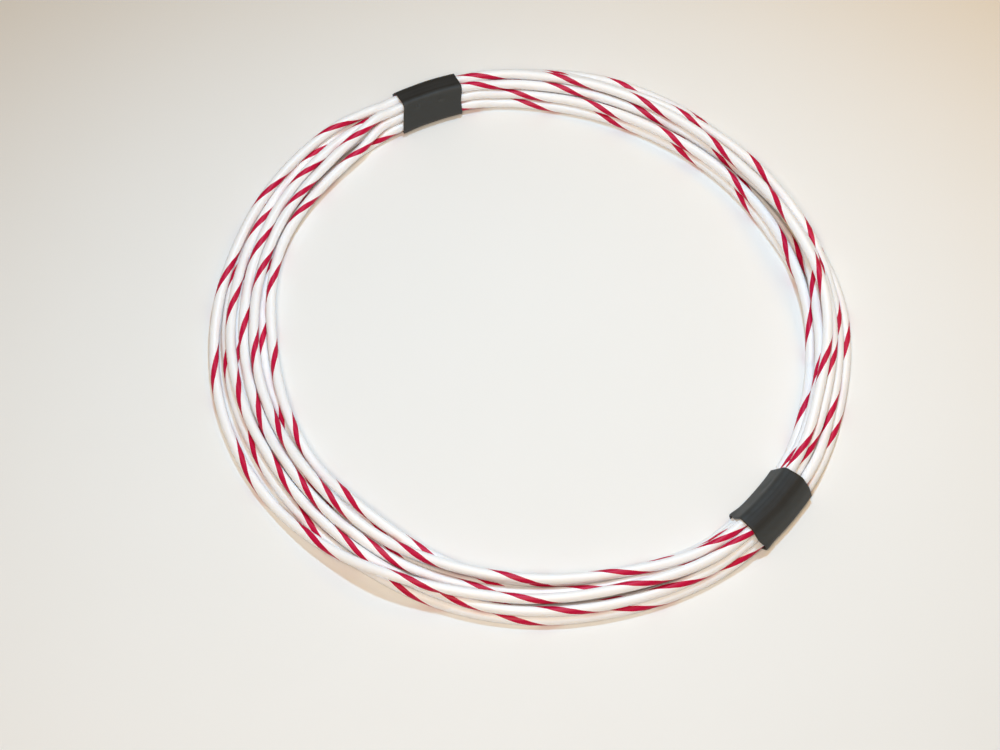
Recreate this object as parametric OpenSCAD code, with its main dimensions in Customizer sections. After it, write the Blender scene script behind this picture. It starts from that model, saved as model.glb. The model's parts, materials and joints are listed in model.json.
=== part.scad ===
// Hand-wound ring coil of hook-up wire, held by two short slip-on sleeves.
// One wire runs round the ring again and again. Each pass round the ring is a
// turn, laid over the turns before it, and both bare ends are tucked into a
// sleeve. The ring lies flat on the floor, +Z up.

/* [Wire] */
// Outside diameter of the insulated wire
wire_d = 2.06; // [1.7:0.02:2.4]
// Diameter of the copper core
core_d = 1.2; // [0.8:0.1:1.3]
// Room between the core and the jacket's bore
core_gap = 0.05; // [0.04:0.01:0.1]

/* [Coil] */
// Radius of the ring at the middle lane of the bundle
coil_r = 59; // [50:1:80]
// Room between two strands that lie side by side
lay_gap = 0.04; // [0.02:0.02:0.1]

/* [Sleeves] */
// Wall of both sleeves
sleeve_wall = 0.45; // [0.3:0.05:0.8]
// Room between the bundle and a sleeve's bore
sleeve_gap = 0.2; // [0.15:0.05:0.3]
// Length of the sleeve that hides the wire's start, along the ring
sleeve_a_len = 13.4; // [10:0.2:14]
// Length of the sleeve that hides the wire's end, along the ring
sleeve_b_len = 14.6; // [10:0.2:15]

/* [Hidden] */

// Angles round the ring, in degrees, counter-clockwise seen from above.
a_at = 112;     // middle of sleeve a
b_at = 319;     // middle of sleeve b
hold = 9;       // strands stay in their sleeve order this far from a sleeve's middle
fade = 6;       // and the bundle settles to the floor over this much more
edge = 10;      // lanes stay still this far from a sleeve's middle
tuck = 5;       // the wire starts this far before the middle of sleeve a

// A lane is a strand's place across the bundle: 0 is the middle of the ring,
// and each whole number is one strand further out.
a_mid = 0.5;    // lane at the middle of sleeve a
b_mid = 0.75;   // lane at the middle of sleeve b

// Inside a sleeve the strands lie as 4 below, 3 between and 2 on top. These
// are the lanes that turns 1 to 9 take, counted from the bundle's middle.
// Turns 3 and 4 change places between the sleeves.
packing_a = [1.5, 0.5, -1.5, -0.5, -1, 1, 0, -0.5, 0.5];
packing_b = [1.5, 0.5, -0.5, -1.5, -1, 1, 0, -0.5, 0.5];

// Between the sleeves each turn wanders. Its lane is chosen at these angles.
left_at = [131, 159, 185, 211, 235, 261, 285];
right_at = [345, 365, 385, 405, 425, 445];
left_lanes = [
    [1.75, 1.75, 1.5, 1, 1, 1.5, 1.75],
    [0.75, 0.75, 0.5, 0, 0, 0.5, 0.75],
    [-1, -1.25, -2, -2.5, -1.5, -1.5, -1],
    [0, -0.25, -1, -1.5, -2.5, -2.5, -2],
    [-1.5, -1.75, -3, -3, -3, -2, -1.5],
    [1.5, 1.25, 1, 0.25, 0.25, 1, 1.25],
    [0.5, 0.25, -0.25, -0.75, -0.75, -0.75, -0.5],
    [-0.5, -0.75, -1.25, -1.75, -1.75, -1.75, -1.25],
    [1.75, 2.25, 2.75, 2.5, 1.5, 0.25, 0.25]
];
right_lanes = [
    [2, 2, 1.25, 1.25, 2, 2.25],
    [0.75, -0.75, -2, -2.25, -2.25, -1.75],
    [-0.25, 0, -0.75, -1.25, -1, 0],
    [-1.25, -1.5, -1.75, -2, -2, -1.25],
    [-0.5, -0.75, 0.25, 0.25, 1, 1.5],
    [1.25, 1.25, 0.75, 0.75, 0.75, 0.5],
    [0.5, 0.5, -0.25, -0.75, -0.75, -0.5],
    [-0.25, 0, -0.75, -0.75, -0.25, 0.25]
];

turns = len(packing_a);
pitch = wire_d + lay_gap;
bed = sleeve_wall + sleeve_gap;   // height of the bundle's underside in a sleeve
start = a_at - tuck;
step = 2;                         // degrees between places where heights are worked out
ring_every = 3;                   // steps between the rings of a solid
sway = 2;                         // steps over which a strand bridges a hump
last_span = step * ring_every * floor((b_at + tuck - start) / (step * ring_every));
jacket_sides = 8;
core_sides = 6;
sleeve_round = 96;
cut = 1;                          // how far a cutting solid runs past what it cuts, degrees

function ease(x) = let (u = min(max(x, 0), 1)) u * u * (3 - 2 * u);
function away(angle, at) = abs((angle - at + 540) % 360 - 180);
// 1 inside a sleeve and just outside it, 0 where the strands lie free
function held(angle) = 1 - ease((min(away(angle, a_at), away(angle, b_at)) - hold) / fade);

// Smooth curve through places [x, y] that is level at both ends
function slope(places, i) =
    i == 0 || i == len(places) - 1 ? 0 :
    (places[i + 1].y - places[i - 1].y) / (places[i + 1].x - places[i - 1].x);
function curve(places, x) =
    let (
        i = max([for (n = [0:len(places) - 2]) if (n == 0 || places[n].x <= x) n]),
        width = places[i + 1].x - places[i].x,
        u = (x - places[i].x) / width,
        ends = (2 * u - 3) * u * u * (places[i].y - places[i + 1].y) + places[i].y,
        slopes = u * (u - 1) * width * ((u - 1) * slope(places, i) + u * slope(places, i + 1))
    )
    ends + slopes;

function between(from, at, lanes, to) =
    concat([from], [for (i = [0:len(at) - 1]) [at[i], lanes[i]]], [to]);
// Lane of turn k at an angle from its start to its end, one whole turn later
function lane(k, angle) =
    let (
        in_a = packing_a[k] + a_mid,
        in_b = packing_b[k] + b_mid,
        next = packing_a[min(k + 1, turns - 1)] + a_mid
    )
    angle <= a_at + edge ? in_a :
    angle < b_at - edge ?
        curve(between([a_at + edge, in_a], left_at, left_lanes[k], [b_at - edge, in_b]), angle) :
    angle <= b_at + edge ? in_b :
    angle < a_at + 360 - edge ?
        curve(between([b_at + edge, in_b], right_at, right_lanes[k], [a_at + 360 - edge, next]), angle) :
    next;

function span(k) = k < turns - 1 ? 360 : last_span;
function angles(k) = [for (angle = [start:step:start + span(k)]) angle];
lanes = [for (k = [0:turns - 1]) [for (angle = angles(k)) lane(k, angle)]];

// Height of a strand's middle, counted in pitches above the bed it lies on.
// A strand lies on the bed or in the groove between the strands below it.
function resting(k, below, i) =
    max([0.5, for (n = [0:1:k - 1]) let (gap = abs(lanes[k][i] - lanes[n][i]))
        if (gap < 1) below[n][i] + sqrt(1 - gap * gap)]);
function window(list, i) = [for (n = [max(0, i - sway):min(len(list) - 1, i + sway)]) list[n]];
function mean(list) = list * [for (item = list) 1] / len(list);
// It is too stiff to follow each groove, so it bridges from hump to hump.
function bridged(list) =
    let (high = [for (i = [0:len(list) - 1]) max(window(list, i))])
    [for (i = [0:len(list) - 1]) mean(window(high, i))];
function settled(k, below) =
    let (
        low = [for (i = [0:len(lanes[k]) - 1]) resting(k, below, i)],
        high = bridged(low)
    )
    [for (i = [0:len(low) - 1])
        high[i] + (low[i] - high[i]) * held(start + step * i)];
function wound(k = 0, below = []) =
    k == turns ? below : wound(k + 1, concat(below, [settled(k, below)]));
heights = wound();

// Middle of the strand as [angle, distance from the ring's axis, height]
function strand_place(k, i) =
    let (angle = start + step * i)
    [
        angle,
        coil_r + lanes[k][i] * pitch,
        bed * held(angle) + wire_d / 2 + (heights[k][i] - 0.5) * pitch
    ];
// Places of the rings of turn k. The last one is also the first of the next turn.
function ring_places(k) =
    let (count = span(k) / step)
    [for (i = [0:ring_every:count])
        i < count || k == turns - 1 ? strand_place(k, i) : strand_place(k + 1, 0) + [360, 0, 0]];
places = [for (k = [0:turns - 1]) ring_places(k)];

// The ring isn't quite round, so its box is centred on the origin.
function flat(place) = [place.y * cos(place.x), place.y * sin(place.x)];
spots = [for (turn = places, place = turn) flat(place)];
middle = [for (axis = [0, 1])
    (max([for (spot = spots) spot[axis]]) + min([for (spot = spots) spot[axis]])) / 2];

// One ring of points round the strand, in the upright plane through the axis
function ring(place, sides, r) = [
    for (s = [0:sides - 1])
        let (q = 360 * s / sides, out = place.y + r * cos(q))
        [out * cos(place.x) - middle.x, out * sin(place.x) - middle.y, place.z + r * sin(q)]
];
// Faces between rings i and i + 1, whose points start at first in each ring of size points
function band(i, sides, size, first = 0) = [
    for (s = [0:sides - 1])
        let (
            here = i * size + first + s,
            beside = i * size + first + (s + 1) % sides
        )
        each [[here, beside, beside + size], [here, beside + size, here + size]]
];
function turned(faces) = [for (face = faces) [for (i = [len(face) - 1:-1:0]) face[i]]];

// Jacket of one turn: a tube with its bore
module jacket(k) {
    rings = places[k];
    sides = jacket_sides;
    size = 2 * sides;
    last = (len(rings) - 1) * size;
    rim = [for (s = [0:sides - 1])
        let (beside = (s + 1) % sides) [s, s + sides, beside + sides, beside]];
    color("white")
        polyhedron(
            points = [for (place = rings)
                each concat(ring(place, sides, wire_d / 2), ring(place, sides, core_d / 2 + core_gap))],
            faces = concat(
                [for (i = [0:len(rings) - 2]) each band(i, sides, size)],
                turned([for (i = [0:len(rings) - 2]) each band(i, sides, size, sides)]),
                rim,
                turned([for (face = rim) [for (point = face) point + last]])
            )
        );
}

// Copper core of one turn
module core(k) {
    rings = places[k];
    sides = core_sides;
    last = (len(rings) - 1) * sides;
    color("peru")
        polyhedron(
            points = [for (place = rings) each ring(place, sides, core_d / 2)],
            faces = concat(
                [for (i = [0:len(rings) - 2]) each band(i, sides, sides)],
                [[for (s = [sides - 1:-1:0]) s]],
                [[for (s = [0:sides - 1]) last + s]]
            )
        );
}

// Middles of the four corner strands of the packed bundle, anticlockwise
row_rise = sqrt(3) / 2;
function corners(mid) = [
    for (spot = [[-1.5, 0], [1.5, 0], [0.5, 2 * row_rise], [-0.5, 2 * row_rise]])
        [coil_r + (mid + spot.x) * pitch, bed + wire_d / 2 + spot.y * pitch]
];
// Outline of the bundle with room r round the middles of its corner strands
module outline(mid, r) {
    spots = corners(mid);
    for (spot = spots) translate(spot) circle(r, $fn = sleeve_round);
    polygon([for (i = [0:3])
        let (
            from = spots[i],
            to = spots[(i + 1) % 4],
            side = r * [to.y - from.y, from.x - to.x] / norm(to - from)
        )
        each [from + side, to + side]]);
}

// One sleeve: a short piece of soft tube, stretched round the bundle
module sleeve(at, mid, length) {
    half = length / (coil_r + mid * pitch) * 90 / PI;
    bore_r = wire_d / 2 + sleeve_gap;
    translate([-middle.x, -middle.y, 0])
        color([0.11, 0.11, 0.1])
            difference() {
                rotate([0, 0, at - half])
                    rotate_extrude(angle = 2 * half, $fn = sleeve_round)
                        outline(mid, bore_r + sleeve_wall);
                rotate([0, 0, at - half - cut])
                    rotate_extrude(angle = 2 * (half + cut), $fn = sleeve_round)
                        outline(mid, bore_r);
            }
}

for (k = [0:turns - 1]) jacket(k);
for (k = [0:turns - 1]) core(k);
sleeve(a_at, a_mid, sleeve_a_len);  // sleeve_a
sleeve(b_at, b_mid, sleeve_b_len);  // sleeve_b
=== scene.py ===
# %% [markdown]
# # A hand-wound coil of hook-up wire
#
# The object is one length of white insulated wire with a coloured spiral tracer,
# wound by hand into a ring and held by two short black sleeves. It lies flat on a
# pale floor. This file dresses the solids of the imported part: it follows the same
# route as the solids do, with a finer mesh, and adds the tracer, the shape of the
# sleeves, the cut ends, the materials, the floor and the light.

import json
import math

import bpy
import numpy as np
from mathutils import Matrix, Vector


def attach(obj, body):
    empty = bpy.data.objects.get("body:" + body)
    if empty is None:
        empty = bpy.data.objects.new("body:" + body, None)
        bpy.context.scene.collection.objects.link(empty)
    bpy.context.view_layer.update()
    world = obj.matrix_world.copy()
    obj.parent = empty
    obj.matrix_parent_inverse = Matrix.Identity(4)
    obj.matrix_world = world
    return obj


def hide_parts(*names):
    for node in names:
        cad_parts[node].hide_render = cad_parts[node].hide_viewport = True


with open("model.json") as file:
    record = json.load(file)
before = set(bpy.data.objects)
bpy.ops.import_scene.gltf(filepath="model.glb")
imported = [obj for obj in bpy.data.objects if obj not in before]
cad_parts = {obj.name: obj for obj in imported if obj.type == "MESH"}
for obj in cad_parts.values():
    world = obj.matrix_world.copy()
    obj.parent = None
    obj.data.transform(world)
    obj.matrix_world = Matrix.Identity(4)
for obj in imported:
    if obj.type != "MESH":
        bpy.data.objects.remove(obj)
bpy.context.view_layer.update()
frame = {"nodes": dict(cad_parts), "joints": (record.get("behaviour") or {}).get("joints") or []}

# %% [markdown]
# ## Sizes
#
# All sizes are in metres and angles are in degrees, counter-clockwise seen from
# above. The wire and the sleeves have the sizes of the solids. The ring isn't
# quite round, so its winding axis stands a little off the origin. The sleeves
# slide round that axis, so its place is read from their joint.

# %% Sizes
WIRE_D = 0.00206
CORE_D = 0.0012
CORE_GAP = 0.00005
COIL_R = 0.059
PITCH = WIRE_D + 0.00004
SLEEVE_WALL = 0.00045
SLEEVE_GAP = 0.0002
BED = SLEEVE_WALL + SLEEVE_GAP
SLEEVE_A = {"at": 112, "mid": 0.5, "length": 0.0134}
SLEEVE_B = {"at": 319, "mid": 0.75, "length": 0.0146}
AXIS = np.array(frame["joints"][0]["pos_m"], float)
print("winding axis", AXIS)

# %% [markdown]
# ## Camera
#
# The camera looks down at the ring from the front, at about 62 degrees, from
# close by, so the near side of the ring looks a little larger than the far side.
# The aim point is on the floor, near the winding axis.

# %% Camera
CAMERA_ELEVATION = math.radians(62.3)
CAMERA_DISTANCE = 0.475
CAMERA_AIM = AXIS + np.array([-0.0068, -0.00905, 0.0])
IMAGE_WIDTH = 1000
FOCAL_PIXELS = 2357
SENSOR = 36.0

camera_data = bpy.data.cameras.new("camera")
camera_data.sensor_width = SENSOR
camera_data.lens = FOCAL_PIXELS / IMAGE_WIDTH * SENSOR
camera_data.clip_start = 0.01
camera = bpy.data.objects.new("camera", camera_data)
bpy.context.scene.collection.objects.link(camera)
towards_camera = Vector((0, -math.cos(CAMERA_ELEVATION), math.sin(CAMERA_ELEVATION)))
camera.location = Vector(CAMERA_AIM) + CAMERA_DISTANCE * towards_camera
camera.rotation_euler = towards_camera.to_track_quat("Z", "Y").to_euler()
bpy.context.scene.camera = camera
print("camera at", tuple(round(c, 4) for c in camera.location))

# %% [markdown]
# ## The wire's route
#
# A coil like this is wound round the hand: each turn is laid over the turns
# before it and wanders a little, and the sleeves pull the strands into a packed
# bundle. A *lane* is a strand's place across the bundle: 0 is the middle of the
# ring, and each whole number is one strand further out. The lanes are listed at
# a few angles, and a smooth curve joins them. Inside the sleeves the
# strands lie as 4 below, 3 between and 2 on top.

# %% Lanes of each turn
HOLD = 9  # degrees from a sleeve's middle that the strands stay packed for
FADE = 6  # degrees over which they are let go
EDGE = 10  # degrees from a sleeve's middle where the free lanes begin
TUCK = 5  # degrees that the wire's ends reach past the sleeves' middles
PACKING_A = [1.5, 0.5, -1.5, -0.5, -1, 1, 0, -0.5, 0.5]
PACKING_B = [1.5, 0.5, -0.5, -1.5, -1, 1, 0, -0.5, 0.5]
LEFT_AT = [131, 159, 185, 211, 235, 261, 285]
RIGHT_AT = [345, 365, 385, 405, 425, 445]
LEFT_LANES = [
    [1.75, 1.75, 1.5, 1, 1, 1.5, 1.75],
    [0.75, 0.75, 0.5, 0, 0, 0.5, 0.75],
    [-1, -1.25, -2, -2.5, -1.5, -1.5, -1],
    [0, -0.25, -1, -1.5, -2.5, -2.5, -2],
    [-1.5, -1.75, -3, -3, -3, -2, -1.5],
    [1.5, 1.25, 1, 0.25, 0.25, 1, 1.25],
    [0.5, 0.25, -0.25, -0.75, -0.75, -0.75, -0.5],
    [-0.5, -0.75, -1.25, -1.75, -1.75, -1.75, -1.25],
    [1.75, 2.25, 2.75, 2.5, 1.5, 0.25, 0.25],
]
RIGHT_LANES = [
    [2, 2, 1.25, 1.25, 2, 2.25],
    [0.75, -0.75, -2, -2.25, -2.25, -1.75],
    [-0.25, 0, -0.75, -1.25, -1, 0],
    [-1.25, -1.5, -1.75, -2, -2, -1.25],
    [-0.5, -0.75, 0.25, 0.25, 1, 1.5],
    [1.25, 1.25, 0.75, 0.75, 0.75, 0.5],
    [0.5, 0.5, -0.25, -0.75, -0.75, -0.5],
    [-0.25, 0, -0.75, -0.75, -0.25, 0.25],
]
TURNS = len(PACKING_A)
START = SLEEVE_A["at"] - TUCK
STEP = 2  # degrees between the points of the route
RING_EVERY = 3  # points from one ring of the solid turns to the next
LAST_SPAN = STEP * RING_EVERY * ((SLEEVE_B["at"] + TUCK - START) // (STEP * RING_EVERY))


def ease(x):
    """A smooth step from 0 to 1."""
    u = np.clip(x, 0, 1)
    return u * u * (3 - 2 * u)


def away(angle, at):
    """Degrees between two directions, the short way round."""
    return np.abs((angle - at + 540) % 360 - 180)


def held(angle):
    """1 inside a sleeve and just outside it, 0 where the strands lie free."""
    nearest = np.minimum(away(angle, SLEEVE_A["at"]), away(angle, SLEEVE_B["at"]))
    return 1 - ease((nearest - HOLD) / FADE)


def curve(places, x):
    """Smooth curve through places (x, y) that is level at both ends."""
    px, py = np.array(places, float).T
    slopes = np.zeros(len(px))
    slopes[1:-1] = (py[2:] - py[:-2]) / (px[2:] - px[:-2])
    i = np.clip(np.searchsorted(px, x, side="right") - 1, 0, len(px) - 2)
    width = px[i + 1] - px[i]
    u = (x - px[i]) / width
    ends = (2 * u - 3) * u * u * (py[i] - py[i + 1]) + py[i]
    return ends + u * (u - 1) * width * ((u - 1) * slopes[i] + u * slopes[i + 1])


def lanes_of(k, angle):
    """Lanes of turn k at angles from its start to its end, one whole turn later."""
    in_a = PACKING_A[k] + SLEEVE_A["mid"]
    in_b = PACKING_B[k] + SLEEVE_B["mid"]
    after_a, before_b = SLEEVE_A["at"] + EDGE, SLEEVE_B["at"] - EDGE
    left = [(after_a, in_a), *zip(LEFT_AT, LEFT_LANES[k]), (before_b, in_b)]
    lane = np.where(angle <= after_a, in_a, curve(left, np.clip(angle, after_a, before_b)))
    if k < TURNS - 1:
        after_b, before_a = SLEEVE_B["at"] + EDGE, SLEEVE_A["at"] + 360 - EDGE
        following = PACKING_A[k + 1] + SLEEVE_A["mid"]
        right = [(after_b, in_b), *zip(RIGHT_AT, RIGHT_LANES[k]), (before_a, following)]
        lane = np.where(angle > after_b, curve(right, np.clip(angle, after_b, before_a)), lane)
    return lane


turn_angles = [
    START + np.arange(0, (360 if k < TURNS - 1 else LAST_SPAN) + STEP, STEP) for k in range(TURNS)
]
turn_lanes = [lanes_of(k, turn_angles[k]) for k in range(TURNS)]
print("turns", TURNS, "of which the last spans", LAST_SPAN, "degrees")

# %% [markdown]
# ## Heights of the strands
#
# A strand lies on the floor, or in the groove between the strands below it, or on
# top of one that it crosses. The wire is too stiff to follow each groove, so it
# bridges from hump to hump in long low waves. In a sleeve the whole bundle is
# lifted by the sleeve's wall. Heights are counted in pitches, and the middle of a
# strand on the floor is at 0.5.

# %% Heights
SWAY = 2  # points each way that the stiff wire spans


def bridged(low):
    """The highest support nearby, smoothed over the same reach."""
    count = len(low)
    high = [low[max(0, i - SWAY) : i + SWAY + 1].max() for i in range(count)]
    return np.array([np.mean(high[max(0, i - SWAY) : i + SWAY + 1]) for i in range(count)])


turn_heights = []
for k in range(TURNS):
    low = np.full(len(turn_lanes[k]), 0.5)
    for below in range(k):
        gap = np.abs(turn_lanes[k] - turn_lanes[below][: len(low)])
        resting = turn_heights[below][: len(low)] + np.sqrt(np.clip(1 - gap * gap, 0, 1))
        low = np.where(gap < 1, np.maximum(low, resting), low)
    high = bridged(low)
    turn_heights.append(high + (low - high) * held(turn_angles[k]))


def joined(lists):
    """One list along the whole wire: each turn's last value is the next one's first."""
    return np.concatenate([values[:-1] for values in lists[:-1]] + [lists[-1]])


route_angle = joined([turn_angles[k] + 360 * k for k in range(TURNS)])
route_lane = joined(turn_lanes)
route_height = joined(turn_heights)
print("highest strand middle", round(float(route_height.max()), 2), "pitches")

# %% [markdown]
# ## Finer route
#
# The mesh needs a ring every half diameter or so to look smooth, so the route is
# filled in to one degree with a cubic curve through its points. The wire's real
# length is measured along it.

# %% Finer route
FINE = 1.0  # degrees between the points of the finer route


def refined(values, fine_at, coarse_at):
    """Cubic curve through evenly spaced values."""
    padded = np.concatenate([[values[0]], values, [values[-1]] * 2])
    i = np.minimum(((fine_at - coarse_at[0]) // STEP).astype(int), len(values) - 2)
    u = (fine_at - coarse_at[i]) / STEP
    a, b, c, d = (padded[i + n] for n in range(4))
    return b + 0.5 * u * (c - a + u * (2 * a - 5 * b + 4 * c - d + u * (3 * (b - c) + d - a)))


fine_angle = np.arange(route_angle[0], route_angle[-1] + FINE / 2, FINE)
fine_lane = refined(route_lane, fine_angle, route_angle)
fine_height = refined(route_height, fine_angle, route_angle)
fine_radius = COIL_R + fine_lane * PITCH
fine_z = BED * held(fine_angle) + WIRE_D / 2 + (fine_height - 0.5) * PITCH
turn_rad = np.radians(fine_angle)
outward = np.stack([np.cos(turn_rad), np.sin(turn_rad), np.zeros_like(turn_rad)], 1)
upward = np.array([0.0, 0.0, 1.0])
middles = AXIS + outward * fine_radius[:, None] + upward * fine_z[:, None]
along = np.concatenate([[0], np.cumsum(np.linalg.norm(np.diff(middles, axis=0), axis=1))])

# %% [markdown]
# ## The tracer
#
# The tracer is a stripe of coloured plastic laid into the jacket as it is
# extruded, and the wire's twist turns it into a spiral. Here the jacket's own
# columns of faces twist with it, so the stripe's edges are sharp and are part of
# the mesh. The twist isn't even: winding by hand turns the wire on itself, a
# little differently each time round. Each free stretch has a phase of its own,
# and the change from one to the next is hidden in a sleeve.

# %% Tracer phase
TRACER_PITCH = 19.16  # degrees round the ring for one turn of the stripe
TRACER_SWING = (20.0, 81.0)  # degrees, a slow swing once round the ring
TRACER_LEFT = [55, 60, 355, 270, 95, 215, 315, 55, 100]
TRACER_RIGHT = [245, 285, 290, 325, 125, 310, 130, 125]
BLEND = 5  # degrees each way over which one phase gives way to the next


def tracer_angle(phase, angle):
    """Where the stripe stands round the strand: 0 is outward, 90 is up."""
    place = np.radians(angle)
    swing = TRACER_SWING[0] * np.sin(place) + TRACER_SWING[1] * np.cos(place)
    return phase - 360 / TRACER_PITCH * angle + swing


tracer = tracer_angle(TRACER_LEFT[0], fine_angle)
for k in range(TURNS):
    stretches = [(TRACER_LEFT[k], SLEEVE_A["at"])] if k else []
    if k < TURNS - 1:
        stretches.append((TRACER_RIGHT[k], SLEEVE_B["at"]))
    for phase, at in stretches:
        local = fine_angle - 360 * k
        wanted = tracer_angle(phase, local)
        share = ease((local - at + BLEND) / (2 * BLEND))
        here = int(np.argmin(np.abs(local - at)))
        turns_off = 360 * round((tracer[here] - wanted[here]) / 360)
        tracer = tracer + share * (wanted + turns_off - tracer)
print("tracer turns", round(abs(tracer[-1] - tracer[0]) / 360, 1))

# %% [markdown]
# ## Mesh helpers
#
# Everything here is swept: rings of points, joined by quads. One function makes
# such a grid into an object, with a UV map that runs along and round it, so that
# the materials can follow the piece.


# %% Mesh helpers
def mesh_object(name, points, faces, uvs=None, slots=None):
    """A smooth-shaded object. slots gives each face the number of its material."""
    mesh = bpy.data.meshes.new(name)
    mesh.from_pydata([tuple(p) for p in points], [], faces)
    mesh.polygons.foreach_set("use_smooth", [True] * len(mesh.polygons))
    if uvs is not None:
        layer = mesh.uv_layers.new(name="along")
        layer.data.foreach_set("uv", np.asarray(uvs, float).ravel())
    if slots is not None:
        mesh.polygons.foreach_set("material_index", slots)
    mesh.validate()
    mesh.update()
    obj = bpy.data.objects.new(name, mesh)
    bpy.context.scene.collection.objects.link(obj)
    return obj


def grid_faces(rows, columns, first=0, flip=False):
    """Quads between rows of points that close on themselves."""
    faces = []
    for i in range(rows - 1):
        here, there = first + i * columns, first + (i + 1) * columns
        for j in range(columns):
            beside = (j + 1) % columns
            face = [here + j, here + beside, there + beside, there + j]
            faces.append(face if flip else face[::-1])
    return faces


def grid_uvs(rows, columns, lengths, width):
    """UVs of grid_faces' corners, in metres: u runs round and v runs along."""
    uvs = []
    for i in range(rows - 1):
        near_v, far_v = lengths[i], lengths[i + 1]
        for j in range(columns):
            u0, u1 = width * j / columns, width * (j + 1) / columns
            uvs.extend([(u0, far_v), (u1, far_v), (u1, near_v), (u0, near_v)])
    return uvs


print("two rows of three points make", len(grid_faces(2, 3)), "faces")


# %% [markdown]
# ## The jacket
#
# Soft PVC over a copper core. One mesh runs from end to end: the outside, the two
# cut faces and a short stretch of the bore that the cut faces open into. The
# stripe takes nearly a fifth of the way round, and its edges waver a little,
# because the second colour flows into the first in the extruder's die.

# %% Jacket mesh
COLUMNS = 24
STRIPE_COLUMNS = 5
STRIPE_WIDTH = 66  # degrees round the wire
WAVER = 2.5  # degrees
SLOW_WAVER, QUICK_WAVER = 900, 2311  # radians per metre along the wire
WAVER_STEP = 1.3  # radians from one column to the next

rings = len(middles)
stripe = np.linspace(-STRIPE_WIDTH / 2, STRIPE_WIDTH / 2, STRIPE_COLUMNS + 1)
ground = np.linspace(STRIPE_WIDTH / 2, 360 - STRIPE_WIDTH / 2, COLUMNS - STRIPE_COLUMNS + 1)
column_angle = np.concatenate([stripe, ground[1:-1]])
slow = np.sin(along[:, None] * SLOW_WAVER + WAVER_STEP * np.arange(COLUMNS))
quick = np.sin(along[:, None] * QUICK_WAVER)
waver = WAVER * (slow + quick)
round_angle = np.radians(tracer[:, None] + column_angle[None, :] + waver / 2)


def ring_points(radius, chosen=slice(None)):
    """Points round the strand, in the upright plane through the winding axis."""
    across = radius * np.cos(round_angle[chosen])
    rise = radius * np.sin(round_angle[chosen])
    out = outward[chosen][:, None, :] * across[:, :, None]
    return middles[chosen][:, None, :] + out + upward * rise[:, :, None]


outside = ring_points(WIRE_D / 2).reshape(-1, 3)
faces = grid_faces(rings, COLUMNS)
uvs = grid_uvs(rings, COLUMNS, along, math.pi * WIRE_D)
column_slots = [1 if j < STRIPE_COLUMNS else 0 for j in range(COLUMNS)]
slots = column_slots * (rings - 1)
print("rings", rings, "of", COLUMNS, "points, of which the stripe takes", STRIPE_COLUMNS, "columns")

# %% [markdown]
# ## The jacket's cut faces
#
# Side cutters leave the jacket's end with a slightly rounded edge. The cut face
# bulges past the last ring by the size of that round, slopes in to the bore and
# goes a little way into it, so that no open edge is seen.

# %% Cut faces
CUT_ROUND = 0.00012
BORE_R = CORE_D / 2 + CORE_GAP
BORE_DEPTH = 3 * WIRE_D / 2
CUT_PROFILE = [
    (WIRE_D / 2 - CUT_ROUND * 0.3, -CUT_ROUND * 0.7),
    (WIRE_D / 2 - CUT_ROUND, -CUT_ROUND),
    (BORE_R, -CUT_ROUND * 0.8),
    (BORE_R, BORE_DEPTH),
]
CUT_UVS = [(0, 0), (WIRE_D, 0), (WIRE_D, CUT_ROUND), (0, CUT_ROUND)]

points = [outside]
total = len(outside)
for end, inward in ((0, 1), (rings - 1, -1)):
    direction = middles[end + inward] - middles[end]
    direction = direction / np.linalg.norm(direction)
    previous = end * COLUMNS
    for radius, depth in CUT_PROFILE:
        points.append(ring_points(radius, slice(end, end + 1))[0] + direction * depth)
        for j in range(COLUMNS):
            beside = (j + 1) % COLUMNS
            face = [previous + j, previous + beside, total + beside, total + j]
            faces.append(face if inward > 0 else face[::-1])
            uvs.extend(CUT_UVS)
        slots.extend(column_slots)
        previous = total
        total += COLUMNS
wire = mesh_object("wire_jacket", np.concatenate(points), faces, uvs, slots)
print("jacket faces", len(wire.data.polygons))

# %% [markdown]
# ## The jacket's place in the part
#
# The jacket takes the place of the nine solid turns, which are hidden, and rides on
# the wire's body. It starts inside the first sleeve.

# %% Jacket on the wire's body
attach(wire, "wire")
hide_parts(*[f"turn_{k + 1}" for k in range(TURNS)])

# %% [markdown]
# ## The sleeves: the line round the bundle
#
# Each sleeve is a short piece of thin soft tube, stretched over the bundle. It
# takes the bundle's shape: a flat underside with four strands, two slanting
# flanks, and a narrow top over the last two strands. The line round the bundle is
# made of arcs over the four corner strands and straights between them, and it is
# then divided evenly, so that all faces of the sleeve are about the same size.

# %% Line round the bundle
SLEEVE_ROUND = 96
ROW_RISE = math.sqrt(3) / 2
CORNER_STRANDS = [(-1.5, 0), (1.5, 0), (0.5, 2 * ROW_RISE), (-0.5, 2 * ROW_RISE)]
CORNER_STEPS = 25


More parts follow.
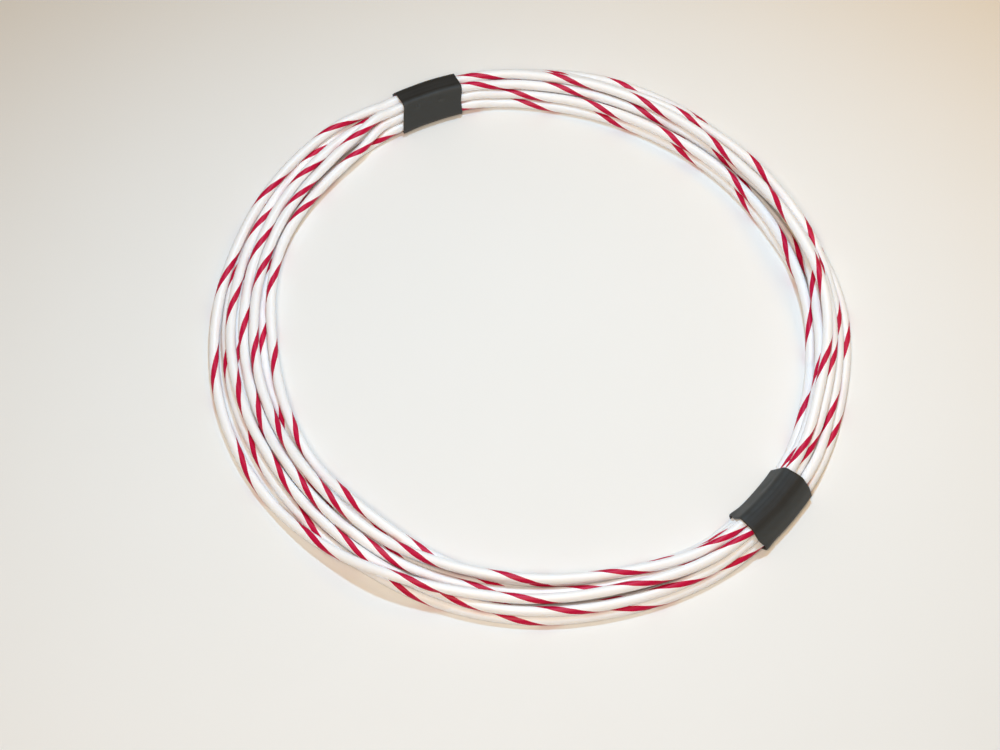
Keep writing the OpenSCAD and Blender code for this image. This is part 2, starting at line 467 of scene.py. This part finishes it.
def bundle_line(mid, distance):
    """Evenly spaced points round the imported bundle, at a distance from its corner strands.

    Gives each point's place across and up, its outward direction, how far round
    it is, from 0 to 1, starting over the inner flank's foot, and the whole length.
    """
    spots = np.array(
        [(COIL_R + (mid + x) * PITCH, BED + WIRE_D / 2 + y * PITCH) for x, y in CORNER_STRANDS]
    )
    path, normals = [], []
    for i in range(4):
        before, here, after = spots[i - 1], spots[i], spots[(i + 1) % 4]
        side_in = np.array([here[1] - before[1], before[0] - here[0]])
        side_out = np.array([after[1] - here[1], here[0] - after[0]])
        start = math.atan2(side_in[1], side_in[0])
        end = math.atan2(side_out[1], side_out[0])
        end += 2 * math.pi * (end < start)
        for angle in np.linspace(start, end, CORNER_STEPS):
            normal = np.array([math.cos(angle), math.sin(angle)])
            path.append(here + distance * normal)
            normals.append(normal)
    path, normals = np.array(path + path[:1]), np.array(normals + normals[:1])
    run = np.concatenate([[0], np.cumsum(np.linalg.norm(np.diff(path, axis=0), axis=1))])
    wanted = np.linspace(0, run[-1], SLEEVE_ROUND, endpoint=False)
    place = np.stack([np.interp(wanted, run, path[:, n]) for n in (0, 1)], 1)
    normal = np.stack([np.interp(wanted, run, normals[:, n]) for n in (0, 1)], 1)
    normal /= np.linalg.norm(normal, axis=1)[:, None]
    return place, normal, wanted / run[-1], run[-1]


SKIN_BORE = WIRE_D / 2 + SLEEVE_GAP * 0.35  # a little tighter than the solid's bore
SLEEVE_AROUND = bundle_line(0, SKIN_BORE)[3]
print("the bore's line is", round(SLEEVE_AROUND * 1000, 1), "mm long")

# %% [markdown]
# ## The sleeves: folds, mouths and lips
#
# Hand-cut soft tube is never quite regular. Over the top corner strands it keeps a
# soft fold, and a mouth stands open a little on the side where the strands drop
# away from it. These are small pushes along the outward direction, so one function
# can add them up. The ends aren't cut quite square either, so there each point
# also moves a little along the ring. Places round the sleeve are fractions of the
# line above, and a bump with a place and a width fades in a bell curve.

# %% Sleeve helpers
SLEEVE_ROWS = 40
LIP_STEPS = 5
LIP_ROUNDNESS = 0.45
MOUTH_REACH = 0.0022
INNER_FOOT, OUTER_FOOT, OUTER_FLANK, OUTER_FOLD = 0.03, 0.42, 0.55, 0.655
CROWN, INNER_FOLD, INNER_FLANK = 0.73, 0.79, 0.90
LOWEST = 0.00002  # the underside stays this far above the floor
WALL_UNDER = 0.9  # share of the wall that is left under the bore
UNDERSIDE = 0.0012  # below this height the pushes fade out
RIPPLE = 0.00003
WAVES = 5
WAVE_TURN = 6.28  # a whole turn, in radians
RIDGE_FADE = 0.3  # share of a ridge's height that is gone at the ends


def near(x, at, width):
    """1 at a place, fading over a width, on a line that closes on itself at 1."""
    gap = np.abs((x - at + 0.5) % 1 - 0.5)
    return np.exp(-((gap / width) ** 2))


def facing(row, next_row):
    """Unit directions that point out of the sleeve's end at each point of a row."""
    direction = row - next_row
    return direction / np.linalg.norm(direction, axis=1)[:, None]


def lip(from_row, to_row, outwards):
    """Rows that round the cut edge between the outside and the bore."""
    centre, half = (from_row + to_row) / 2, (from_row - to_row) / 2
    size = np.linalg.norm(half, axis=1)[:, None]
    bulge = outwards * size * LIP_ROUNDNESS
    turns = [n * math.pi / LIP_STEPS for n in range(1, LIP_STEPS)]
    return [centre + half * math.cos(turn) + bulge * math.sin(turn) for turn in turns]


print("a lip has", LIP_STEPS - 1, "rows between the outside and the bore")

# %% [markdown]
# ## The sleeves: the mesh
#
# The outside and the bore are rows of points along the sleeve, and the rows of the
# two lips join them into one closed tube with a real wall.


# %% Sleeve mesh
def sleeve_mesh(name, sleeve, ridges, dents, flares, cuts, seed):
    """A ridge is a place round the sleeve, its width and its height. A dent is a place
    along (-0.5 to 0.5) and round, its length and width as shares, and its depth. A flare
    is the end (-1 or 1), the place round, the width and how far the mouth stands open. A
    cut is the same with how much further out the end reaches there."""
    rng = np.random.default_rng(seed)
    middle_r = COIL_R + sleeve["mid"] * PITCH
    place, normal, around, line = bundle_line(sleeve["mid"], SKIN_BORE)
    lengthwise = np.linspace(-0.5, 0.5, SLEEVE_ROWS)
    waves = [
        (rng.uniform(0.5, 2), rng.integers(1, 4), rng.uniform(0, WAVE_TURN)) for _ in range(WAVES)
    ]
    raised = sum(height * near(around, at, width) for at, width, height in ridges)
    foot = np.clip(place[:, 1] / UNDERSIDE, 0, 1)

    def push_at(t):
        """How far each point of the row at t moves outwards."""
        ripple = sum(np.sin(WAVE_TURN * (a * t + b * around) + c) for a, b, c in waves) / WAVES
        push = RIPPLE * (1 + ripple) + raised * (1 - RIDGE_FADE * abs(2 * t))
        for end, at, width, amount in flares:
            reach = (0.5 - end * t) * sleeve["length"] / MOUTH_REACH
            push = push + amount * math.exp(-reach * reach) * near(around, at, width)
        for along_at, at, long, width, depth in dents:
            bell = math.exp(-(((t - along_at) / long) ** 2))
            push = push - depth * bell * near(around, at, width)
        return push * foot

    def row_at(t, thickness):
        """The row of points at t, on the bore or one wall's thickness out of it."""
        spot = place + normal * (push_at(t) + thickness)[:, None]
        floor = LOWEST + (SLEEVE_WALL - thickness) * WALL_UNDER
        across, up = spot[:, 0], np.maximum(spot[:, 1], floor)
        reach = t * sleeve["length"]
        for end, at, width, amount in cuts:
            reach = reach + end * amount * near(around, at, width) * max(0, 2 * end * t) ** 2
        angle = np.radians(sleeve["at"]) + reach / middle_r
        x, y = AXIS[0] + across * np.cos(angle), AXIS[1] + across * np.sin(angle)
        return np.stack([x, y, up], 1)

    outer = [row_at(t, SLEEVE_WALL) for t in lengthwise]
    inner = [row_at(t, 0.0) for t in lengthwise]
    last_lip = lip(outer[-1], inner[-1], facing(outer[-1], outer[-2]))
    first_lip = lip(inner[0], outer[0], facing(outer[0], outer[1]))
    rows = outer + last_lip + inner[::-1] + first_lip + [outer[0]]
    lengths = [0.0]
    for row, next_row in zip(rows, rows[1:]):
        lengths.append(lengths[-1] + float(np.linalg.norm(next_row - row, axis=1).mean()))
    points = np.concatenate(rows[:-1])
    faces = [[p % len(points) for p in face] for face in grid_faces(len(rows), SLEEVE_ROUND)]
    uvs = grid_uvs(len(rows), SLEEVE_ROUND, lengths, line)
    piece = mesh_object(name + "_skin", points, faces, uvs)
    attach(piece, name)
    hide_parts(name)
    print(name, "faces", len(faces), "round it", round(line * 1000, 1), "mm")
    return piece


# %% [markdown]
# ## The two sleeves
#
# The sleeve over the wire's start sits fairly square, with one end cut unevenly and
# two scuffs on its inner flank. The one over the wire's end is pulled out of shape:
# its outer flank is puffed up, and its mouth on the near side stands open at both
# feet.

# %% Two sleeves
skin_a = sleeve_mesh(
    "sleeve_a",
    SLEEVE_A,
    ridges=[(INNER_FOLD, 0.022, 0.00014), (OUTER_FOLD, 0.02, 0.00006)],
    dents=[(0.26, 0.845, 0.05, 0.02, 0.00030), (-0.17, 0.845, 0.06, 0.02, 0.00032)],
    flares=[(-1, INNER_FLANK, 0.10, 0.00006), (1, INNER_FOOT, 0.10, 0.00006)],
    cuts=[
        (-1, INNER_FOLD, 0.09, 0.0007),
        (1, OUTER_FOOT, 0.12, -0.0012),
        (1, OUTER_FOLD, 0.10, -0.0006),
        (1, INNER_FOLD, 0.08, -0.0007),
        (1, INNER_FOOT, 0.09, 0.0009),
    ],
    seed=3,
)
skin_b = sleeve_mesh(
    "sleeve_b",
    SLEEVE_B,
    ridges=[(INNER_FOLD, 0.018, 0.00010), (OUTER_FLANK, 0.075, 0.00040), (CROWN, 0.05, 0.00012)],
    dents=[(-0.1, 0.69, 0.22, 0.03, 0.00008), (0.2, 0.86, 0.12, 0.03, 0.0001)],
    flares=[
        (-1, INNER_FOOT, 0.07, 0.00032),
        (-1, OUTER_FOOT, 0.05, 0.00035),
        (1, OUTER_FLANK, 0.12, 0.0001),
    ],
    cuts=[(-1, INNER_FOOT, 0.08, -0.0009), (-1, OUTER_FOOT, 0.10, -0.0011)],
    seed=8,
)

# %% [markdown]
# ## Cut ends of the conductor
#
# The two ends of the wire are tucked into the sleeves. Each shows what the wire is
# made of: fine copper strands, twisted together and cut flush with the jacket.

# %% Conductor ends
INNER_STRANDS, INNER_CIRCLE = 5, 0.00027
OUTER_STRANDS, OUTER_CIRCLE = 11, 0.00046
OUTER_SHIFT = 9  # degrees, so that the two rings of strands don't line up
STRAND_D = 0.00025
STRAND_LAY = 0.011
STRAND_SIDES, STRAND_ROWS = 8, 7
END_LENGTH = 0.0022
END_PROUD = 0.00008
TIP_SIZE = 0.8  # of the strand's thickness, where the cutters pinched it
STRANDS = [(INNER_CIRCLE, 360 * n / INNER_STRANDS) for n in range(INNER_STRANDS)]
STRANDS += [(OUTER_CIRCLE, 360 * n / OUTER_STRANDS + OUTER_SHIFT) for n in range(OUTER_STRANDS)]


def conductor_end(name, end, inward):
    """Twisted strands from just outside the cut face to a little way in."""

    def beside(middle, distance, angle):
        step = outward[end] * distance * math.cos(angle)
        return middle + step + upward * distance * math.sin(angle)

    points, faces = [], []
    direction = middles[end + inward] - middles[end]
    direction /= np.linalg.norm(direction)
    for radius, angle in STRANDS:
        first = len(points)
        for i in range(STRAND_ROWS):
            depth = END_LENGTH * i / (STRAND_ROWS - 1) - END_PROUD
            lay = math.radians(angle + 360 * depth / STRAND_LAY)
            middle = beside(middles[end] + direction * depth, radius, lay)
            reach = STRAND_D / 2 * (TIP_SIZE if i == 0 else 1.0)
            for j in range(STRAND_SIDES):
                points.append(beside(middle, reach, 2 * math.pi * j / STRAND_SIDES))
        faces += grid_faces(STRAND_ROWS, STRAND_SIDES, first, flip=inward > 0)
        cap = list(range(first, first + STRAND_SIDES))
        faces.append(cap if inward > 0 else cap[::-1])
    uvs = [(0.0, 0.0)] * sum(len(face) for face in faces)
    piece = mesh_object(name, points, faces, uvs)
    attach(piece, "wire")
    return piece


end_a = conductor_end("conductor_end_a", 0, 1)
end_b = conductor_end("conductor_end_b", rings - 1, -1)
print("strands in each end", len(STRANDS))

# %% [markdown]
# ## Materials: shared effects
#
# Plastics that have been handled share the same faults: the colour drifts a
# little from place to place, the gloss is uneven, and the skin has a fine grain.
# One node group gives all three, and each material sets its own amounts. It is
# built from a few helpers that each add one or two nodes.


# %% Node helpers
def is_socket(value):
    return hasattr(value, "is_output")


def feed(tree, value, target):
    """Links a socket into a target, or sets a plain number or colour on it."""
    if is_socket(value):
        tree.links.new(value, target)
    else:
        target.default_value = (*value, 1.0) if isinstance(value, tuple) else value


def mix_colour(tree, share, first, second):
    """Mixes two colours, each a socket or a plain value."""
    node = tree.nodes.new("ShaderNodeMix")
    node.data_type = "RGBA"
    tree.links.new(share, node.inputs[0])
    feed(tree, first, node.inputs[6])
    feed(tree, second, node.inputs[7])
    return node.outputs[2]


def ranged(tree, value, low, high):
    """Spreads a 0 to 1 value over a range. low and high are sockets or numbers."""
    node = tree.nodes.new("ShaderNodeMapRange")
    tree.links.new(value, node.inputs["Value"])
    feed(tree, low, node.inputs["To Min"])
    feed(tree, high, node.inputs["To Max"])
    return node.outputs["Result"]


def noise(tree, place, scale, detail=3.0, roughness=0.5):
    """Noise from 0 to 1 at a place. The scale is a socket or a number."""
    node = tree.nodes.new("ShaderNodeTexNoise")
    node.inputs["Detail"].default_value = detail
    node.inputs["Roughness"].default_value = roughness
    tree.links.new(place, node.inputs["Vector"])
    feed(tree, scale, node.inputs["Scale"])
    return node.outputs["Fac"]


def bump(tree, height, strength, distance):
    """A bump node. Its inputs take sockets or numbers, and the node is returned."""
    node = tree.nodes.new("ShaderNodeBump")
    feed(tree, strength, node.inputs["Strength"])
    node.inputs["Distance"].default_value = distance
    tree.links.new(height, node.inputs["Height"])
    return node


def material(name):
    """A new material, with its node tree and its shader."""
    made = bpy.data.materials.new(name)
    made.use_nodes = True
    return made, made.node_tree, made.node_tree.nodes["Principled BSDF"]


print("helpers: feed, mix_colour, ranged, noise, bump, material")

# %% [markdown]
# ## Materials: the handled skin
#
# The group takes the clean and the soiled colour, how much soil there is and how
# large its patches are, the range of the roughness, and the size and height of the
# grain. It gives a colour, a roughness and a normal, which each material then
# links into its own shader.

# %% Handled plastic
SOIL_SPREAD = (-0.6, 1.6)
GLOSS_SCALE = 420.0
GRAIN_DEPTH = 0.00004
HANDLED_INPUTS = (
    ("Colour", "NodeSocketColor", (0.8, 0.8, 0.8, 1)),
    ("Soiled colour", "NodeSocketColor", (0.6, 0.55, 0.5, 1)),
    ("Soil", "NodeSocketFloat", 0.3),
    ("Patch scale", "NodeSocketFloat", 60.0),
    ("Roughness from", "NodeSocketFloat", 0.35),
    ("Roughness to", "NodeSocketFloat", 0.5),
    ("Grain scale", "NodeSocketFloat", 2500.0),
    ("Grain height", "NodeSocketFloat", 0.2),
)
HANDLED_OUTPUTS = (
    ("Colour", "NodeSocketColor"),
    ("Roughness", "NodeSocketFloat"),
    ("Normal", "NodeSocketVector"),
)


def handled_plastic():
    group = bpy.data.node_groups.new("handled_plastic", "ShaderNodeTree")
    for name, kind, default in HANDLED_INPUTS:
        made = group.interface.new_socket(name=name, in_out="INPUT", socket_type=kind)
        made.default_value = default
    for name, kind in HANDLED_OUTPUTS:
        group.interface.new_socket(name=name, in_out="OUTPUT", socket_type=kind)
    given = group.nodes.new("NodeGroupInput").outputs
    result = group.nodes.new("NodeGroupOutput").inputs
    place = group.nodes.new("ShaderNodeTexCoord").outputs["Object"]
    patches = noise(group, place, given["Patch scale"], detail=4.0, roughness=0.6)
    soil = group.nodes.new("ShaderNodeMath")
    soil.operation = "MULTIPLY"
    soil.use_clamp = True
    group.links.new(ranged(group, patches, *SOIL_SPREAD), soil.inputs[0])
    group.links.new(given["Soil"], soil.inputs[1])
    colour = mix_colour(group, soil.outputs[0], given["Colour"], given["Soiled colour"])
    gloss = noise(group, place, GLOSS_SCALE, detail=3.0)
    rough = ranged(group, gloss, given["Roughness from"], given["Roughness to"])
    grain = noise(group, place, given["Grain scale"], detail=2.0)
    normal = bump(group, grain, given["Grain height"], GRAIN_DEPTH).outputs["Normal"]
    for name, made in (("Colour", colour), ("Roughness", rough), ("Normal", normal)):
        group.links.new(made, result[name])
    return group


HANDLED = handled_plastic()


def with_handling(tree, shader, **values):
    """Adds the group to a material, with its inputs set, and links its outputs."""
    node = tree.nodes.new("ShaderNodeGroup")
    node.node_tree = HANDLED
    for key, value in values.items():
        feed(tree, value, node.inputs[key.replace("_", " ")])
    tree.links.new(node.outputs["Colour"], shader.inputs["Base Color"])
    tree.links.new(node.outputs["Roughness"], shader.inputs["Roughness"])
    tree.links.new(node.outputs["Normal"], shader.inputs["Normal"])
    return node


print("node group", HANDLED.name, "with", len(HANDLED.nodes), "nodes")

# %% [markdown]
# ## Materials: the jacket and its tracer
#
# White PVC is soft and a little see-through at its skin, so light bleeds under the
# surface and its shadows stay pale. It yellows and picks up faint grey from hands.
# The tracer is the same plastic with a crimson pigment, which lets no light in.

# %% Jacket materials
PVC_IOR = 1.5
JACKET_GRAIN = {"Grain_scale": 2600.0, "Grain_height": 0.10}
JACKET_WHITE = (0.96, 0.955, 0.98)
JACKET_SOILED = (0.94, 0.92, 0.91)
TRACER_RED = (0.57, 0.0015, 0.050)
TRACER_DARK = (0.48, 0.0015, 0.042)

jacket, tree, shader = material("jacket_white")
with_handling(
    tree,
    shader,
    Colour=JACKET_WHITE,
    Soiled_colour=JACKET_SOILED,
    Soil=0.35,
    Patch_scale=70.0,
    Roughness_from=0.30,
    Roughness_to=0.46,
    **JACKET_GRAIN,
)
shader.inputs["Subsurface Weight"].default_value = 0.35
shader.inputs["Subsurface Radius"].default_value = (1.0, 0.9, 0.8)
shader.inputs["Subsurface Scale"].default_value = 0.0020
shader.inputs["IOR"].default_value = PVC_IOR

tracer_red, tree, shader = material("jacket_tracer")
with_handling(
    tree,
    shader,
    Colour=TRACER_RED,
    Soiled_colour=TRACER_DARK,
    Soil=0.8,
    Patch_scale=300.0,
    Roughness_from=0.34,
    Roughness_to=0.48,
    **JACKET_GRAIN,
)
shader.inputs["IOR"].default_value = PVC_IOR
shader.inputs["Specular IOR Level"].default_value = 0.25
for made in (jacket, tracer_red):
    wire.data.materials.append(made)
print("jacket slots", [m.name for m in wire.data.materials])

# %% [markdown]
# ## Materials: the sleeves
#
# Thin black tube has a satin skin with fine lines along it, left by the die that it
# was drawn through. Where it is stretched over the strands the lines open up and
# turn a little grey. Its flanks and inner side are painted a lighter grey, which is
# painted light for the sides that face the lamps, and the outer part of the crown is
# left blacker as painted shade. This painted light follows the first number of the
# UV map, which runs round the sleeve.

# %% Sleeve material
SLEEVE_BLACK = (0.012, 0.009, 0.006)
SLEEVE_GREY = (0.030, 0.027, 0.023)
# The next colour is painted light: the lighter grey of the flanks and inner side that face the
# lamps. The stops after it set where round the sleeve it lies, and the crown between them stays
# black as painted shade.
SLEEVE_PAINTED_LIGHT = (0.043, 0.046, 0.046)
PAINTED_LIGHT_FROM = (0.0, 0.61, 0.68, 0.76, 0.81)  # shares of the way round
PAINTED_LIGHT_SHARE = (1.0, 1.0, 0.0, 0.0, 1.0)
PAINTED_LIGHT_DRIFT = 0.03
PAINTED_LIGHT_DRIFT_SCALE = 160.0
LINES_ROUND = 2600.0
LINES_ALONG = 90.0
LINE_SPREAD = (-0.5, 1.1)
LINE_STRENGTH = 0.35
LINE_DEPTH = 0.00005

sleeve_material, tree, shader = material("sleeve_black")
group = with_handling(
    tree,
    shader,
    Colour=SLEEVE_BLACK,
    Soiled_colour=SLEEVE_GREY,
    Soil=0.35,
    Patch_scale=190.0,
    Roughness_from=0.48,
    Roughness_to=0.64,
    Grain_scale=3200.0,
    Grain_height=0.25,
)
uv = tree.nodes.new("ShaderNodeUVMap")
uv.uv_map = "along"
stretch = tree.nodes.new("ShaderNodeMapping")
stretch.inputs["Scale"].default_value = (LINES_ROUND, LINES_ALONG, 1.0)
tree.links.new(uv.outputs["UV"], stretch.inputs["Vector"])
lines = noise(tree, stretch.outputs["Vector"], 1.0, detail=4.0, roughness=0.65)
greyed = ranged(tree, lines, *LINE_SPREAD)
shade = mix_colour(tree, greyed, group.outputs["Colour"], SLEEVE_GREY)

# Painted light: a ramp round the sleeve mixes a lighter grey into the flanks and inner side, and
# leaves the crown black as painted shade.
round_it = tree.nodes.new("ShaderNodeSeparateXYZ")
tree.links.new(uv.outputs["UV"], round_it.inputs["Vector"])
painted_light_drift = ranged(tree, noise(tree, uv.outputs["UV"], PAINTED_LIGHT_DRIFT_SCALE), -PAINTED_LIGHT_DRIFT, PAINTED_LIGHT_DRIFT)
share = tree.nodes.new("ShaderNodeMath")
share.operation = "MULTIPLY_ADD"
share.inputs[1].default_value = 1 / SLEEVE_AROUND
tree.links.new(round_it.outputs["X"], share.inputs[0])
tree.links.new(painted_light_drift, share.inputs[2])
painted_light_ramp = tree.nodes.new("ShaderNodeValToRGB")
while len(painted_light_ramp.color_ramp.elements) < len(PAINTED_LIGHT_FROM):
    painted_light_ramp.color_ramp.elements.new(0.5)
for stop, position, value in zip(painted_light_ramp.color_ramp.elements, PAINTED_LIGHT_FROM, PAINTED_LIGHT_SHARE):
    stop.position = position
    stop.color = (value, value, value, 1.0)
tree.links.new(share.outputs["Value"], painted_light_ramp.inputs["Fac"])
painted_light_colour = mix_colour(tree, painted_light_ramp.outputs["Color"], shade, SLEEVE_PAINTED_LIGHT)
tree.links.new(painted_light_colour, shader.inputs["Base Color"])

line_bump = bump(tree, lines, LINE_STRENGTH, LINE_DEPTH)
tree.links.new(group.outputs["Normal"], line_bump.inputs["Normal"])
tree.links.new(line_bump.outputs["Normal"], shader.inputs["Normal"])
shader.inputs["IOR"].default_value = PVC_IOR
shader.inputs["Specular IOR Level"].default_value = 0.30
for skin in (skin_a, skin_b):
    skin.data.materials.append(sleeve_material)
print("sleeve material with", len(tree.nodes), "nodes on 2 skins")

# %% [markdown]
# ## Materials: copper
#
# Copper is bright and dulls to brown in patches along the strand.

# %% Copper material
COPPER_BRIGHT = (0.80, 0.42, 0.27)
COPPER_DULL = (0.45, 0.20, 0.12)
COPPER_ROUGHNESS = (0.2, 0.45)
DULL_SCALE = 900.0
SCRATCH_SCALE = 6000.0
SCRATCH_STRENGTH = 0.2
SCRATCH_DEPTH = 0.00002

copper, tree, shader = material("copper")
place = tree.nodes.new("ShaderNodeTexCoord").outputs["Object"]
dulling = noise(tree, place, DULL_SCALE, detail=4.0)
tree.links.new(mix_colour(tree, dulling, COPPER_BRIGHT, COPPER_DULL), shader.inputs["Base Color"])
tree.links.new(ranged(tree, dulling, *COPPER_ROUGHNESS), shader.inputs["Roughness"])
scratches = noise(tree, place, SCRATCH_SCALE, detail=2.0)
scratched = bump(tree, scratches, SCRATCH_STRENGTH, SCRATCH_DEPTH)
tree.links.new(scratched.outputs["Normal"], shader.inputs["Normal"])
shader.inputs["Metallic"].default_value = 1.0
for piece in (end_a, end_b):
    piece.data.materials.append(copper)
for k in range(TURNS):
    for slot in frame["nodes"][f"core_{k + 1}"].material_slots:
        slot.material = copper
print("copper on", TURNS, "cores and 2 cut ends")

# %% [markdown]
# ## Floor
#
# A sheet of matt off-white board, with the faint mottling that board has.

# %% Floor
FLOOR_SIZE = 3.0
FLOOR_DROP = 0.00003
FLOOR_COLOUR = (0.85, 0.85, 0.845)
FLOOR_MOTTLE = (0.835, 0.835, 0.825)
MOTTLE_SCALE = 45.0
FIBRE_SCALE = 1800.0
FIBRE_STRENGTH = 0.1
FIBRE_DEPTH = 0.00005
BOARD_ROUGHNESS = 0.85

half = FLOOR_SIZE / 2
corners = [(-half, -half), (half, -half), (half, half), (-half, half)]
floor = mesh_object("floor", [(x, y, -FLOOR_DROP) for x, y in corners], [[0, 1, 2, 3]])
board, tree, shader = material("board")
place = tree.nodes.new("ShaderNodeTexCoord").outputs["Object"]
mottle = noise(tree, place, MOTTLE_SCALE, detail=5.0, roughness=0.6)
tree.links.new(mix_colour(tree, mottle, FLOOR_COLOUR, FLOOR_MOTTLE), shader.inputs["Base Color"])
fibre = bump(tree, noise(tree, place, FIBRE_SCALE, detail=2.0), FIBRE_STRENGTH, FIBRE_DEPTH)
tree.links.new(fibre.outputs["Normal"], shader.inputs["Normal"])
shader.inputs["Roughness"].default_value = BOARD_ROUGHNESS
floor.data.materials.append(board)
print("floor", FLOOR_SIZE, "m square")

# %% [markdown]
# ## Light
#
# A small lamp, the key, hangs close over the far part of the ring. Because it is so
# near, its shadows fall outwards all round: they hide behind the ring at the far
# side and show as a thin clear band along the near side. Its light is blue. A
# broad warm lamp on the viewer's side, the fill, lights the sides that face the
# camera and reaches into the shadow band, so the band looks beige, and where both
# fall together the white plastic looks neutral. A third lamp, far off at the back
# right, tints that corner of the floor, and the room gives a little warm light from
# everywhere.


# %% Lamps
def lamp(name, kind, place, aim, energy, colour, **settings):
    """A lamp. Its place and aim are counted from the winding axis, on the floor."""
    data = bpy.data.lights.new(name, kind)
    data.energy = energy
    data.color = colour
    for key, value in settings.items():
        setattr(data, key, value)
    obj = bpy.data.objects.new(name, data)
    bpy.context.scene.collection.objects.link(obj)
    place, aim = Vector(AXIS + np.array(place)), Vector(AXIS + np.array(aim))
    obj.location = place
    obj.rotation_euler = (place - aim).to_track_quat("Z", "Y").to_euler()


KEY_AZIMUTH = math.radians(72)
KEY_REACH = 0.090
KEY_HEIGHT = 0.35
KEY_AIM = (0.0, -0.06, 0.0)
KEY_WATTS = 2.9
KEY_BLUE = (0.42, 0.72, 1.0)
KEY_CONE = math.radians(70)
KEY_SIZE = 0.010
FILL_PLACE = (-0.05, -0.22, 0.45)
FILL_AIM = (0.0, 0.0, 0.0)
FILL_WATTS = 1.38
FILL_WARM = (1.0, 0.82, 0.65)
FILL_SIZE = 0.20
ROOM_LAMP_PLACE = (0.30, 0.25, 0.40)
ROOM_LAMP_AIM = (0.13, 0.11, 0.0)
ROOM_LAMP_WATTS = 2.6
ROOM_LAMP_AMBER = (1.0, 0.53, 0.05)
ROOM_LAMP_CONE = math.radians(55)
ROOM_LAMP_SIZE = 0.08
ROOM_WARM = (1.0, 0.87, 0.66, 1.0)
ROOM_STRENGTH = 0.23

key_place = (KEY_REACH * math.cos(KEY_AZIMUTH), KEY_REACH * math.sin(KEY_AZIMUTH), KEY_HEIGHT)
spot = {"spot_size": KEY_CONE, "spot_blend": 1.0, "shadow_soft_size": KEY_SIZE}
lamp("key", "SPOT", key_place, KEY_AIM, KEY_WATTS, KEY_BLUE, **spot)
disk = {"shape": "DISK", "size": FILL_SIZE}
lamp("fill", "AREA", FILL_PLACE, FILL_AIM, FILL_WATTS, FILL_WARM, **disk)
spot = {"spot_size": ROOM_LAMP_CONE, "spot_blend": 1.0, "shadow_soft_size": ROOM_LAMP_SIZE}
room_lamp = (ROOM_LAMP_PLACE, ROOM_LAMP_AIM, ROOM_LAMP_WATTS, ROOM_LAMP_AMBER)
lamp("room_lamp", "SPOT", *room_lamp, **spot)

world = bpy.data.worlds.new("room")
world.use_nodes = True
background = world.node_tree.nodes["Background"]
background.inputs["Color"].default_value = ROOM_WARM
background.inputs["Strength"].default_value = ROOM_STRENGTH
bpy.context.scene.world = world
bpy.context.scene.view_settings.view_transform = "Standard"
